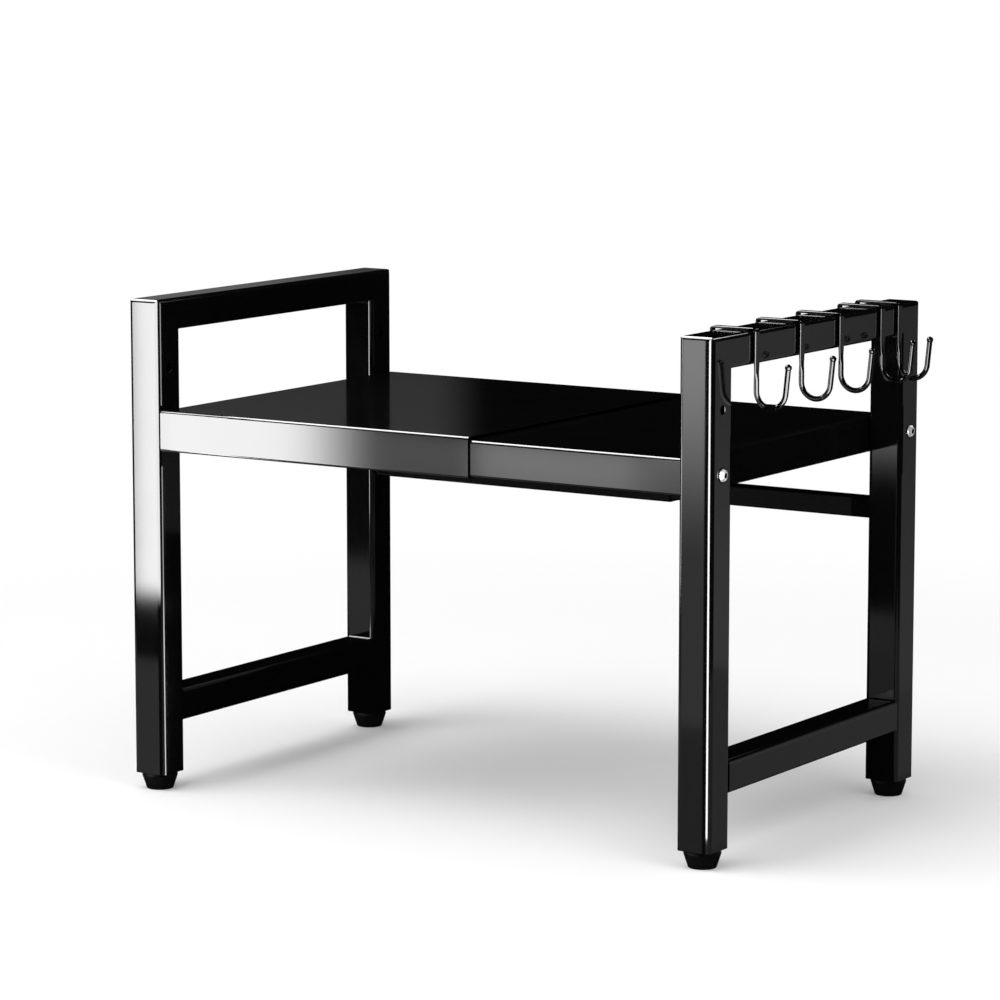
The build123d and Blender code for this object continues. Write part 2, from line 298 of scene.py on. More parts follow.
# %% [markdown]
# Glossy black steel is drawn by what it mirrors, so a photographer of such a rack sets up cards
# and flags. A card is a bright panel and a flag is a black one, and both are only there to be
# mirrored. Each panel here is seen by glossy rays alone, so it shapes the highlights and adds no
# light of its own. Lamps could make the highlights too, but lamps that strong would bleach
# everything else, and without flags the white room would turn the black enamel grey.

# %% Panels to be mirrored
FULL = 20.0                            # a card this strong renders white in a black enamel face
DARK = 0.0


def card_material(name, glow_of):
    """A glowing panel. glow_of is its even strength, or glow_of(tree, axes) makes a map of it."""
    made, tree = new_material(name)
    glow = add_node(tree, "ShaderNodeEmission")
    if callable(glow_of):
        place = add_node(tree, "ShaderNodeNewGeometry").outputs["Position"]
        axes = add_node(tree, "ShaderNodeSeparateXYZ")
        tree.links.new(place, axes.inputs[0])
        tree.links.new(glow_of(tree, axes.outputs), glow.inputs["Strength"])
    else:
        glow.inputs["Strength"].default_value = glow_of
    out = add_node(tree, "ShaderNodeOutputMaterial")
    tree.links.new(glow.outputs[0], out.inputs["Surface"])
    return made


def add_card(name, corners, glow_of):
    panel = flat_panel(name, corners, card_material(name, glow_of))
    panel.visible_camera = False
    panel.visible_diffuse = False
    panel.visible_transmission = False
    panel.visible_volume_scatter = False
    panel.visible_shadow = False
    return panel


def upright(x0, y0, x1, y1, low, high):
    """Corners of an upright panel: its two ends in plan, and its lower and upper height."""
    return [(x0, y0, low), (x1, y1, low), (x1, y1, high), (x0, y0, high)]


print("a full card glows at", FULL)

# %% [markdown]
# The front wall gives every front face its shade. A tall bright panel on the left whitens the
# left post and the start of the shelf's edge. Right of it a soft band lights the rest of the
# shelf's edge, and a wash that grows upwards lights the right post. Close to the floor the wall
# is black, and also above the height that the posts mirror, because the shelf's top would mirror
# that part when it is seen from behind. Each glow is a product of smooth steps along the wall and
# up it, and every step is given as where it starts and where it ends, in metres.

# %% Front wall
WALL_HALF = 1.10                       # the walls reach this far to the left and right
FRONT_Y, REAR_Y = -0.68, 0.60
FRONT_HEIGHT, REAR_HEIGHT = 0.85, 0.62
GLOW_TOP = (0.385, 0.40)

PANEL_LEFT, PANEL_RIGHT, PANEL_FOOT = (-0.722, -0.682), (-0.518, -0.386), (0.056, 0.084)

BAND_START, BAND_START_GLOW = (-0.45, -0.36), 1.7
BAND_STEP, BAND_STEP_GLOW = (-0.288, -0.270), 2.7
BAND_RIGHT, BAND_FOOT, BAND_TOP = (-0.12, -0.05), (0.14, 0.25), (0.255, 0.268)

WASH_LEFT, WASH_RIGHT, WASH_RISE = (-0.10, -0.055), (-0.005, 0.02), (0.16, 0.36)
WASH_LOW_GLOW, WASH_ADDED_GLOW = 0.66, 4.3


def front_glow(tree, axes):
    x, z = axes["X"], axes["Z"]
    panel = times(tree, ease(tree, x, PANEL_LEFT), fall(tree, x, PANEL_RIGHT),
                  ease(tree, z, PANEL_FOOT), FULL)
    strength = total(tree, ease(tree, x, BAND_START, 0.0, BAND_START_GLOW),
                     ease(tree, x, BAND_STEP, 0.0, BAND_STEP_GLOW))
    band = times(tree, strength, fall(tree, x, BAND_RIGHT), ease(tree, z, BAND_FOOT),
                 fall(tree, z, BAND_TOP))
    growing = total(tree, ease(tree, z, WASH_RISE, 0.0, WASH_ADDED_GLOW), WASH_LOW_GLOW)
    wash = times(tree, growing, ease(tree, x, WASH_LEFT), fall(tree, x, WASH_RIGHT))
    return times(tree, total(tree, panel, band, wash), fall(tree, z, GLOW_TOP))


add_card("front_wall", upright(WALL_HALF, FRONT_Y, -WALL_HALF, FRONT_Y, 0.0, FRONT_HEIGHT),
         front_glow)
print("front wall", 2 * WALL_HALF, "m wide")

# %% [markdown]
# The rear wall is a black flag with two dim fields. The right one greys the outer faces of the
# right frame, and the left one greys the top of the left rail and the shelf's left end.

# %% Rear wall
RIGHT_FIELD_START, RIGHT_FIELD_TOP = (0.36, 0.44), (0.37, 0.45)
RIGHT_FIELD_ALONG, RIGHT_GLOW_ALONG = (0.38, 0.75), (0.60, 1.0)
RIGHT_FIELD_UP, RIGHT_GLOW_UP = (0.05, 0.30), (0.36, 0.27)
LEFT_FIELD_END = (-0.52, -0.44)
SHELF_GREY, SHELF_GREY_GLOW = (0.36, 0.41), 0.06
RAIL_GREY, RAIL_GREY_GLOW = (0.485, 0.515), 0.14


def rear_glow(tree, axes):
    x, z = axes["X"], axes["Z"]
    right = times(tree, ease(tree, x, RIGHT_FIELD_ALONG, *RIGHT_GLOW_ALONG),
                  ease(tree, x, RIGHT_FIELD_START), ease(tree, z, RIGHT_FIELD_UP, *RIGHT_GLOW_UP),
                  fall(tree, z, RIGHT_FIELD_TOP))
    greys = total(tree, ease(tree, z, SHELF_GREY, DARK, SHELF_GREY_GLOW),
                  ease(tree, z, RAIL_GREY, DARK, RAIL_GREY_GLOW))
    left = times(tree, fall(tree, x, LEFT_FIELD_END), greys)
    return total(tree, right, left)


add_card("rear_wall", upright(-WALL_HALF, REAR_Y, WALL_HALF, REAR_Y, 0.0, REAR_HEIGHT), rear_glow)
print("rear wall", REAR_HEIGHT, "m high and front wall", FRONT_HEIGHT, "m high")

# %% [markdown]
# What the rack mirrors downwards is the floor, so a panel just above the floor gives the greys
# for that: a wide dim field in front and a smaller one on the right.

# %% Floor panel
FLOOR_PANEL_LIFT = 0.0006
FRONT_FIELD_ALONG, FRONT_GLOW_ALONG = (-0.30, 0.0), (0.50, 0.30)
FRONT_FIELD_DEPTH = (-0.22, -0.18)
SIDE_FIELD_START, SIDE_FIELD_GLOW = (0.28, 0.33), 0.21


def floor_glow(tree, axes):
    x, y = axes["X"], axes["Y"]
    front = times(tree, ease(tree, x, FRONT_FIELD_ALONG, *FRONT_GLOW_ALONG),
                  fall(tree, y, FRONT_FIELD_DEPTH))
    right = times(tree, ease(tree, x, SIDE_FIELD_START), ease(tree, y, FRONT_FIELD_DEPTH),
                  SIDE_FIELD_GLOW)
    return total(tree, front, right)


add_card("floor_panel", level_corners(-WALL_HALF, FRONT_Y, WALL_HALF, REAR_Y, FLOOR_PANEL_LIFT),
         floor_glow)
print("floor panel", round(REAR_Y - FRONT_Y, 2), "m deep")

# %% [markdown]
# Flags keep everything else dark. Two close the sides between the walls, and one is a ceiling,
# without which the hooks' round wire would mirror the white room above the walls. A small one in
# front of the rear bar and one beside the right end of the shelf keep those two from mirroring
# the bright panel of the front wall.

# %% Flags
CEILING_HALF, CEILING_HEIGHT = 5.0, 1.45
BAR_FLAG_ENDS, BAR_FLAG_HEIGHTS, BAR_FLAG_GLOW = (0.215, 0.100, -0.300, 0.100), (0.18, 0.30), 0.1
TRAY_FLAG_ENDS, TRAY_FLAG_HEIGHTS = (0.300, -0.100, 0.300, 0.190), (0.285, 0.345)

FLAGS = {
    # name: (corners, glow)
    "side_flag": (upright(WALL_HALF, REAR_Y, WALL_HALF, FRONT_Y, 0.0, REAR_HEIGHT), DARK),
    "left_flag": (upright(-WALL_HALF, FRONT_Y, -WALL_HALF, REAR_Y, 0.0, REAR_HEIGHT), DARK),
    "ceiling_flag": (level_corners(-CEILING_HALF, -CEILING_HALF, CEILING_HALF, CEILING_HALF,
                                   CEILING_HEIGHT), DARK),
    "bar_flag": (upright(*BAR_FLAG_ENDS, *BAR_FLAG_HEIGHTS), BAR_FLAG_GLOW),
    "tray_end_flag": (upright(*TRAY_FLAG_ENDS, *TRAY_FLAG_HEIGHTS), DARK),
}
for name, (corners, glow) in FLAGS.items():
    add_card(name, corners, glow)
print(len(FLAGS), "flags")

# %% [markdown]
# The white lines along the rounded edges come from narrow bright cards. A tube's corner mirrors
# a wide sweep of the room in three millimetres, so a card shows in it as a thin line. The card
# for a post's corner stands close to it, because only a close card is mirrored down to the foot.
# Small flags beside two of the corners give the line its black border, or take a line away.
#
# A card this close to the rack is also mirrored by the shelf's top, where it would look like a
# hole. Light linking prevents that: a linked card shines only on the nodes in its collection.
# The left card is cut in two at the height of the shelf's top, so that its lower part can light
# the shelf's front edge and its upper part leaves the shelf alone.

# %% Edge cards
LEFT_SPLIT = 0.352
RIGHT_CORNER_GLOW = 1.3 * FULL
UPPER_INNER_GLOW = 6.5
LEFT_CORNER_RISE, INNER_CORNER_RISE = (0.157, 0.181), (0.14, 0.19)


def left_corner_glow(tree, axes):
    """It stops where the front wall's own panel stops, seen in the left post."""
    return ease(tree, axes["Z"], LEFT_CORNER_RISE, DARK, FULL)


def inner_corner_glow(tree, axes):
    """Stronger at the foot, where the line is whiter."""
    return ease(tree, axes["Z"], INNER_CORNER_RISE, 2 * UPPER_INNER_GLOW, UPPER_INNER_GLOW)


EDGE_CARDS = {
    # name: (corner in plan, distance, directions in degrees, low and high, glow, nodes lit)
    # A direction is counted from straight ahead (-Y) towards the right (+X).
    "right_corner_card": ((0.2770, -0.180), 0.12, (-20, 20), (0.0, 0.50), RIGHT_CORNER_GLOW,
                          ["right_front_post", "right_top_rail"]),
    "right_corner_flag": ((0.2755, -0.180), 0.03, (-36, -22), (0.0, 0.50), DARK, []),
    "rear_post_flag": ((0.2505, 0.148), 0.03, (-80, -36), (0.0, 0.50), DARK, []),
    "left_corner_card": ((-0.2820, -0.180), 0.06, (-33, 50), (0.0, LEFT_SPLIT), left_corner_glow,
                         ["left_front_post", "outer_tray"]),
    "upper_left_corner_card": ((-0.2820, -0.180), 0.06, (-33, 50), (LEFT_SPLIT, 0.45), FULL,
                               ["left_front_post", "left_top_rail"]),
    "inner_corner_card": ((-0.2792, -0.177), 0.05, (108, 141), (0.0, 0.285), inner_corner_glow,
                          ["left_front_post"]),
    "upper_inner_corner_card": ((-0.2792, -0.177), 0.02, (108, 141), (0.343, 0.45),
                                UPPER_INNER_GLOW, ["left_front_post"]),
}


def card_across(corner, distance, directions, heights):
    """Corners of an upright card that faces a post's corner, between two directions from it."""
    ends = []
    for degrees in reversed(directions):
        angle = math.radians(degrees)
        ends += [corner[0] + distance * math.sin(angle), corner[1] - distance * math.cos(angle)]
    return upright(*ends, *heights)


def shine_only_on(card, lit_nodes):
    """Light linking: the card's glow reaches these CAD nodes and no others."""
    lit = bpy.data.collections.new(card.name + "_receivers")
    for name in lit_nodes:
        lit.objects.link(nodes[name])
    card.light_linking.receiver_collection = lit
    return lit


lit_by = {}
for name, (corner, distance, directions, heights, glow, lit_nodes) in EDGE_CARDS.items():
    card = add_card(name, card_across(corner, distance, directions, heights), glow)
    if lit_nodes:
        lit_by[name] = shine_only_on(card, lit_nodes)
print(len(EDGE_CARDS), "edge cards,", len(lit_by), "of them linked")

# %% [markdown]
# The hooks end in round wire, and a wire mirrors a thin slice of everything round it. Their card
# draws the bright streak down each wire, the light edge of each flat strip and the spot in each
# ball. It stands askew, from beside the right corner's card outwards, so that the first hook and
# the last one both mirror it. It is linked to the hooks, or the shelf would mirror it too.

# %% Hook card
HOOK_CARD_ENDS, HOOK_CARD_HEIGHTS = (0.46, -0.143, 0.319, -0.293), (0.22, 0.44)
HOOK_CARD_GLOW = 0.8 * FULL

hooks = sorted(name for name in nodes if name.startswith("hook_"))
hook_card = add_card("hook_card", upright(*HOOK_CARD_ENDS, *HOOK_CARD_HEIGHTS), HOOK_CARD_GLOW)
lit_by[hook_card.name] = shine_only_on(hook_card, hooks)
print("hook card lights", hooks)

# %% [markdown]
# Edges that face upwards mirror the sky, so their lines come from two high cards that light
# everything: one above the left, for the shelf's front edge and the tops of the posts, and one
# far behind the right, for the outer edge of the right rail.

# %% High cards
TOP_CARD_SPAN, TOP_CARD_HEIGHT = (-1.5, -0.9, -0.20, 0.3), 1.3
RAIL_CARD_ENDS, RAIL_CARD_HEIGHTS = (0.42, 1.10, 0.85, 1.10), (1.05, 1.34)
RAIL_CARD_RISE = (1.06, 1.30)


def rail_edge_glow(tree, axes):
    return ease(tree, axes["Z"], RAIL_CARD_RISE, DARK, FULL)


add_card("top_card", level_corners(*TOP_CARD_SPAN, TOP_CARD_HEIGHT), FULL)
add_card("rail_edge_card", upright(*RAIL_CARD_ENDS, *RAIL_CARD_HEIGHTS), rail_edge_glow)
print("high cards", TOP_CARD_HEIGHT, "m and up to", RAIL_CARD_HEIGHTS[1], "m above the floor")

# %% [markdown]
# Three effects are shared by the finishes, and each is a node group with named inputs and outputs.
# Lacquer flow is the faint waviness, called orange peel, that a sprayed coat keeps. Metal grain is
# the fine turned or rolled mark on bare metal. Moulded skin is the dull, pebbled surface that a
# mould leaves on rubber and plastic. Image textures could hold all of these, but noise nodes have
# no seams and need no unwrapping.

# %% Shared surface effects
EVEN = (1, 1, 1)
DRAWN_OUT = (1, 1, 0.15)               # stretches the grain along the piece


def new_group(name, inputs, outputs):
    """A shader node group with named number inputs, its inputs' sockets and its outputs' ones."""
    group = bpy.data.node_groups.new(name, "ShaderNodeTree")
    for label, value in inputs.items():
        socket = group.interface.new_socket(label, in_out="INPUT", socket_type="NodeSocketFloat")
        socket.default_value = value
    for label in outputs:
        group.interface.new_socket(label, in_out="OUTPUT", socket_type="NodeSocketFloat")
    entry = group.nodes.new("NodeGroupInput").outputs
    leave = group.nodes.new("NodeGroupOutput").inputs
    return group, entry, leave


def noise(tree, scale, detail, stretch=EVEN):
    """Noise in the object's own space, at so many waves per metre, from 0 to 1."""
    place = add_node(tree, "ShaderNodeTexCoord").outputs["Object"]
    mapping = add_node(tree, "ShaderNodeMapping")
    mapping.inputs["Scale"].default_value = stretch
    tree.links.new(place, mapping.inputs["Vector"])
    made = add_node(tree, "ShaderNodeTexNoise", Detail=detail)
    tree.links.new(mapping.outputs[0], made.inputs["Vector"])
    if isinstance(scale, bpy.types.NodeSocket):
        tree.links.new(scale, made.inputs["Scale"])
    else:
        made.inputs["Scale"].default_value = scale
    return made.outputs["Fac"]


def spread(tree, value, middle, amount):
    """middle plus or minus half of amount, as value goes from 0 to 1."""
    centred = math_node(tree, "SUBTRACT", value, 0.5)
    return math_node(tree, "ADD", middle, math_node(tree, "MULTIPLY", centred, amount))


def lacquer_flow():
    group, entry, leave = new_group("lacquer_flow", {"Waves": 350.0, "Roughness": 0.1, "Tone": 0.02},
                                    ["Height", "Roughness", "Tone"])
    waves = noise(group, entry["Waves"], detail=1.5)
    clouds = noise(group, scale=18.0, detail=3.0)
    group.links.new(waves, leave["Height"])
    group.links.new(spread(group, clouds, entry["Roughness"], 0.06), leave["Roughness"])
    group.links.new(math_node(group, "MULTIPLY", entry["Tone"], spread(group, clouds, 1.0, 0.5)),
                    leave["Tone"])
    return group


def metal_grain():
    group, entry, leave = new_group("metal_grain", {"Grain": 3000.0, "Roughness": 0.2},
                                    ["Height", "Roughness", "Shade"])
    fine = noise(group, entry["Grain"], detail=3.0, stretch=DRAWN_OUT)
    patches = noise(group, scale=240.0, detail=2.0)
    group.links.new(fine, leave["Height"])
    group.links.new(spread(group, fine, entry["Roughness"], 0.12), leave["Roughness"])
    group.links.new(spread(group, patches, 0.5, 0.8), leave["Shade"])
    return group


def moulded_skin():
    group, entry, leave = new_group("moulded_skin", {"Pebble": 2500.0, "Roughness": 0.6},
                                    ["Height", "Roughness", "Shade"])
    pebble = noise(group, entry["Pebble"], detail=2.0)
    bloom = noise(group, scale=160.0, detail=3.0)
    group.links.new(pebble, leave["Height"])
    group.links.new(spread(group, bloom, entry["Roughness"], 0.2), leave["Roughness"])
    group.links.new(bloom, leave["Shade"])
    return group


EFFECTS = {"lacquer": lacquer_flow(), "metal": metal_grain(), "mould": moulded_skin()}
print(len(EFFECTS), "shared effects:", sorted(EFFECTS))

# %% [markdown]
# Now the finishes. They all follow one plan: a Principled shader, one shared effect that varies
# its roughness and colour, and a Bump node for the fine relief. A helper builds that plan, and
# each finish below gives only what makes it different. A value that is the same all over, such as
# how metallic the surface is, is set on the shader itself.

# %% Plan of a finish
FIRST_COLOUR, SECOND_COLOUR, MIXED_COLOUR = 6, 7, 2     # a Mix node's sockets for colours


def finish(name, effect, settings, depth, bump, dark, light, shade="Shade", **constants):
    """A material: the effect's settings, its relief depth in metres and the two colours it mixes."""
    made, tree = new_material(name)
    surface = add_node(tree, "ShaderNodeBsdfPrincipled")
    for label, value in constants.items():
        surface.inputs[label.replace("_", " ")].default_value = value
    group = add_node(tree, "ShaderNodeGroup", node_tree=EFFECTS[effect])
    for label, value in settings.items():
        group.inputs[label].default_value = value
    colours = add_node(tree, "ShaderNodeMix", data_type="RGBA")
    colours.inputs[FIRST_COLOUR].default_value = (*dark, 1)
    colours.inputs[SECOND_COLOUR].default_value = (*light, 1)
    tree.links.new(group.outputs[shade], colours.inputs[0])
    tree.links.new(colours.outputs[MIXED_COLOUR], surface.inputs["Base Color"])
    tree.links.new(group.outputs["Roughness"], surface.inputs["Roughness"])
    relief = add_node(tree, "ShaderNodeBump", Strength=bump, Distance=depth)
    tree.links.new(group.outputs["Height"], relief.inputs["Height"])
    tree.links.new(relief.outputs[0], surface.inputs["Normal"])
    out = add_node(tree, "ShaderNodeOutputMaterial")
    tree.links.new(surface.outputs[0], out.inputs["Surface"])
    return made


# %% [markdown]
# The frames, trays and hooks carry the same sprayed black enamel. It is nearly black with a
# mirror-like skin, and its orange peel is so fine that it only softens what it mirrors. The trays
# are rolled sheet and lie flatter, and the dipped hooks flow a little more.

# %% Black enamels
BLACK, SOFT_BLACK = (0.0018, 0.0018, 0.0019), (0.0036, 0.0036, 0.0038)
ENAMEL_RELIEF = 0.02 * MM
ENAMEL_IOR = 1.5

ENAMELS = {
    # name: (waves per metre, roughness, tone, strength of the relief)
    "frame_black": (420.0, 0.075, 0.5, 0.12),
    "tray_black": (300.0, 0.10, 0.5, 0.10),
    "hook_black": (700.0, 0.07, 0.4, 0.15),
}
FINISHES = {}
for name, (waves, roughness, tone, strength) in ENAMELS.items():
    settings = {"Waves": waves, "Roughness": roughness, "Tone": tone}
    FINISHES[name] = finish(name, "lacquer", settings, ENAMEL_RELIEF, strength, BLACK, SOFT_BLACK,
                            shade="Tone", IOR=ENAMEL_IOR)
print("enamels:", list(FINISHES))

# %% [markdown]
# The shelf screws are brightly plated, with faint marks from the turning tool. Plating that thin
# and fine scatters part of the light, so it isn't made wholly metallic. The hollow of a screw's
# socket is painted near black, a painted shade that stands in for the shade inside it. The nuts
# and the feet's studs are zinc-plated and duller, with the cloudy patches of that plating.

# %% Bare metals
FINISHES["screw_chrome"] = finish(
    "screw_chrome", "metal", {"Grain": 5000.0, "Roughness": 0.26}, depth=0.01 * MM, bump=0.10,
    dark=(0.72, 0.72, 0.73), light=(0.88, 0.88, 0.88), Metallic=0.4)
# painted shade: a near-black, barely glossy finish for the socket's hollow, where the shade inside it
# falls
FINISHES["socket_painted_shade"] = finish(
    "socket_painted_shade", "metal", {"Grain": 3000.0, "Roughness": 0.6}, depth=0.01 * MM, bump=0.20,
    dark=(0.004, 0.004, 0.004), light=(0.012, 0.012, 0.012), Specular_IOR_Level=0.05)
FINISHES["zinc_steel"] = finish(
    "zinc_steel", "metal", {"Grain": 2600.0, "Roughness": 0.32}, depth=0.02 * MM, bump=0.25,
    dark=(0.40, 0.41, 0.42), light=(0.66, 0.66, 0.64), Metallic=1.0)
print("finishes so far:", len(FINISHES))

# %% [markdown]
# The feet are moulded black rubber, dull and slightly pebbled, and the plugs in the posts are a
# smoother black plastic.

# %% Rubber and plastic
FINISHES["foot_rubber"] = finish(
    "foot_rubber", "mould", {"Pebble": 2600.0, "Roughness": 0.52}, depth=0.05 * MM, bump=0.25,
    dark=(0.0026, 0.0028, 0.0029), light=(0.0062, 0.0064, 0.0066), Specular_IOR_Level=0.12)
FINISHES["plug_plastic"] = finish(
    "plug_plastic", "mould", {"Pebble": 1500.0, "Roughness": 0.42}, depth=0.03 * MM, bump=0.15,
    dark=(0.012, 0.012, 0.012), light=(0.02, 0.02, 0.02))

for part in frame["record"]["subparts"]:
    mesh = nodes[part["node"]].data
    mesh.materials.clear()
    mesh.materials.append(FINISHES[part["material_slot"]])

# %% [markdown]
# The screws, nuts and studs are small turned pieces, and the CAD model keeps them as plain
# cylinders and prisms. Here each one gets what its real part has: a rolled thread, a hexagon
# socket, chamfered corners. A turned piece is a stack of rings, each joined to the next by a band
# of quads. A Screw modifier could sweep a thread too, but with rings the head, the shank and the
# thread are one closed mesh. All sizes from here on are in millimetres.

# %% Turned pieces from rings
AROUND = 48                            # points in a ring
SHARP_EDGE = math.radians(32)


def ring(reach, height, around=AROUND):
    """Points round the Z axis. reach and height are numbers, or functions of angle and of reach."""
    points = []
    for number in range(around):
        angle = 2 * math.pi * number / around
        radius = reach(angle) if callable(reach) else reach
        z = height(radius) if callable(height) else height
        points.append((radius * math.cos(angle), radius * math.sin(angle), z))
    return points


def hexagon(flats, grow=0.0):
    """The reach of a hexagon with this width over its flats, and a corner on the X axis."""
    sixth = math.pi / 3
    return lambda angle: flats / 2 / math.cos(angle % sixth - sixth / 2) + grow


def turned_mesh(name, rings, is_tube=False, painted_shade_bands=0):
    """Joins rings to a closed mesh. The first bands, as many as the last argument says, take the second
    material, which paints the shade of a hollow.
    """
    shape = bmesh.new()
    loops = [[shape.verts.new(MM * Vector(point)) for point in points] for points in rings]
    pairs = list(zip(loops, loops[1:]))
    if is_tube:
        pairs.append((loops[-1], loops[0]))
    for band, (low, high) in enumerate(pairs):
        for first in range(len(low)):
            second = (first + 1) % len(low)
            face = shape.faces.new((low[first], low[second], high[second], high[first]))
            face.material_index = int(band < painted_shade_bands)
    if not is_tube:
        shape.faces.new(reversed(loops[0])).material_index = int(painted_shade_bands > 0)
        shape.faces.new(loops[-1])
    for face in shape.faces:
        face.smooth = True
    bmesh.ops.recalc_face_normals(shape, faces=shape.faces)
    mesh = bpy.data.meshes.new(name)
    shape.to_mesh(mesh)
    shape.free()
    mesh.set_sharp_from_angle(angle=SHARP_EDGE)
    return mesh


print(len(ring(1.0, 0.0)), "points in a ring")

# %% [markdown]
# A thread is a groove that climbs by one pitch in each turn. Every ring of the thread is a circle
# with the groove pressed in at the angle that the helix has reached there. At both ends the
# groove runs out over one pitch, as a rolled thread does.

# %% Thread
RINGS_PER_PITCH = 8
CREST_FLAT, FLANK_SLOPE = 1.35, 2.2    # how wide the crest is and how steep the flanks are


def thread_rings(start, end, radius, depth, pitch, around=AROUND):
    """Rings down a thread from start to end, which is the lower height."""
    rings = []
    steps = round((start - end) / pitch * RINGS_PER_PITCH)
    for step in range(steps + 1):
        z = start + (end - start) * step / steps
        run_out = min(1.0, (start - z) / pitch, (z - end) / pitch)

        def reach(angle, z=z, run_out=run_out):
            turn = (z / pitch - angle / (2 * math.pi)) % 1.0
            groove = min(1.0, max(0.0, CREST_FLAT - abs(2 * turn - 1) * FLANK_SLOPE))
            return radius - depth * groove * run_out
        rings.append(ring(reach, z, around))
    return rings


print(RINGS_PER_PITCH, "rings in each turn of a thread")

# %% [markdown]
# Four M6 button-head screws hold the shelf. The head is a low bright dome with a hexagon socket,
# and the thin black ring round it is a painted shadow, standing in for the shade round the head's
# edge. The socket is a hole in shade, so its bands get the painted shade finish. The shank is plain
# where it crosses the post and threaded where the nut sits.

# %% Screw and ring
HEAD_RADIUS, HEAD_HEIGHT, HEAD_RIM = 5.25, 3.3, 0.7
HEAD_FLAT, DOME_RADIUS, DOME_STEPS = 2.9, 3.2, 10
HEAD_EDGE = 0.15                       # the small bevel under the head
SOCKET_FLATS, SOCKET_DEPTH, SOCKET_BEVEL, SOCKET_BANDS = 4.0, 2.0, 0.2, 4
SOCKET_FLOOR_SHRINK, DRILL_POINT_RADIUS, DRILL_POINT_DEPTH = 0.25, 0.8, 0.5
SCREW_RADIUS, SCREW_LENGTH, PLAIN_SHANK = 3.0, 40.0, 27.0
SCREW_PITCH, SCREW_GROOVE, SCREW_TIP = 1.0, 0.55, 0.6
RING_WIDTH, RING_HEIGHT, RING_EDGE, RING_GAP = 1.3, 0.5, 0.2, 0.03


def dome_rings():
    """Rings from the head's flat to its rim, along the arc that the CAD model has."""
    crown, rim = Vector((HEAD_FLAT, HEAD_HEIGHT)), Vector((HEAD_RADIUS, HEAD_RIM))
    chord = rim - crown
    inward = Vector((chord.y, -chord.x)).normalized()
    centre = (crown + rim) / 2 + inward * math.sqrt(DOME_RADIUS ** 2 - (chord.length / 2) ** 2)
    first = math.atan2(crown.y - centre.y, crown.x - centre.x)
    last = math.atan2(rim.y - centre.y, rim.x - centre.x)
    rings = []
    for step in range(DOME_STEPS + 1):
        angle = first + (last - first) * step / DOME_STEPS
        rings.append(ring(centre.x + DOME_RADIUS * math.cos(angle),
                          centre.y + DOME_RADIUS * math.sin(angle)))
    return rings


def screw_mesh():
    """A screw that points down from the origin, with its head above it."""
    floor_z = HEAD_HEIGHT - SOCKET_DEPTH
    rings = [ring(DRILL_POINT_RADIUS, floor_z - DRILL_POINT_DEPTH),
             ring(hexagon(SOCKET_FLATS, -SOCKET_FLOOR_SHRINK), floor_z),
             ring(hexagon(SOCKET_FLATS), floor_z + SOCKET_BEVEL),
             ring(hexagon(SOCKET_FLATS), HEAD_HEIGHT - SOCKET_BEVEL),
             ring(hexagon(SOCKET_FLATS, SOCKET_BEVEL), HEAD_HEIGHT)]
    rings += dome_rings()
    rings += [ring(HEAD_RADIUS, HEAD_EDGE), ring(HEAD_RADIUS - HEAD_EDGE, 0.0), ring(SCREW_RADIUS, 0.0)]
    rings += thread_rings(-PLAIN_SHANK, SCREW_TIP - SCREW_LENGTH, SCREW_RADIUS, SCREW_GROOVE,
                          SCREW_PITCH)
    rings += [ring(SCREW_RADIUS - SCREW_TIP, -SCREW_LENGTH)]
    # the socket's bands take the painted shade
    return turned_mesh("shelf_screw", rings, painted_shade_bands=SOCKET_BANDS)


# painted shadow: a thin black ring round the screw head, in the shape of the shade at its edge
def shade_ring_mesh():
    outer = HEAD_RADIUS + RING_WIDTH
    inner = HEAD_RADIUS + RING_GAP
    rings = [ring(inner, 0.0), ring(outer, 0.0), ring(outer, RING_HEIGHT - RING_EDGE),
             ring(outer - RING_EDGE, RING_HEIGHT), ring(inner, RING_HEIGHT)]
    return turned_mesh("screw_shade_ring", rings, is_tube=True)


screw, shade_ring = screw_mesh(), shade_ring_mesh()
print(len(screw.vertices), "vertices in a screw and", len(shade_ring.vertices), "in its ring")

# %% [markdown]
# Above each screw is a spare hole, for the shelf's higher place. A punch rolls a hole's edge in a
# little, and that rounding catches the light as a crescent. It is drawn as a thin lip that lines
# the hole's mouth. A Bevel modifier on the post would round the hole too, but it would also open a
# groove along every weld.

# %% Rim of a spare hole
HOLE_RADIUS, HOLE_ABOVE_SCREW = 4.4, 53.0
RIM_ROUND, RIM_DEPTH, RIM_GAP, RIM_STEPS = 0.6, 1.2, 0.02, 8
TUBE = 32.0


def rim_mesh():
    outer = HOLE_RADIUS - RIM_GAP
    rings = [ring(outer, -RIM_DEPTH), ring(HOLE_RADIUS - RIM_ROUND, -RIM_DEPTH)]
    for step in range(RIM_STEPS + 1):
        angle = math.pi / 2 * step / RIM_STEPS
        rings.append(ring(min(outer, HOLE_RADIUS - RIM_ROUND * math.cos(angle)),
                          RIM_ROUND * (math.sin(angle) - 1)))
    return turned_mesh("hole_rim", rings, is_tube=True)


rim = rim_mesh()
print(len(rim.vertices), "vertices in a rim")

# %% [markdown]
# The nuts are zinc-plated hexagons with their corners chamfered off, top and bottom, which gives
# each flat its curved edge. The studs of the feet are M8 rods threaded over their whole length,
# with the round flange that the rubber pad is moulded on.

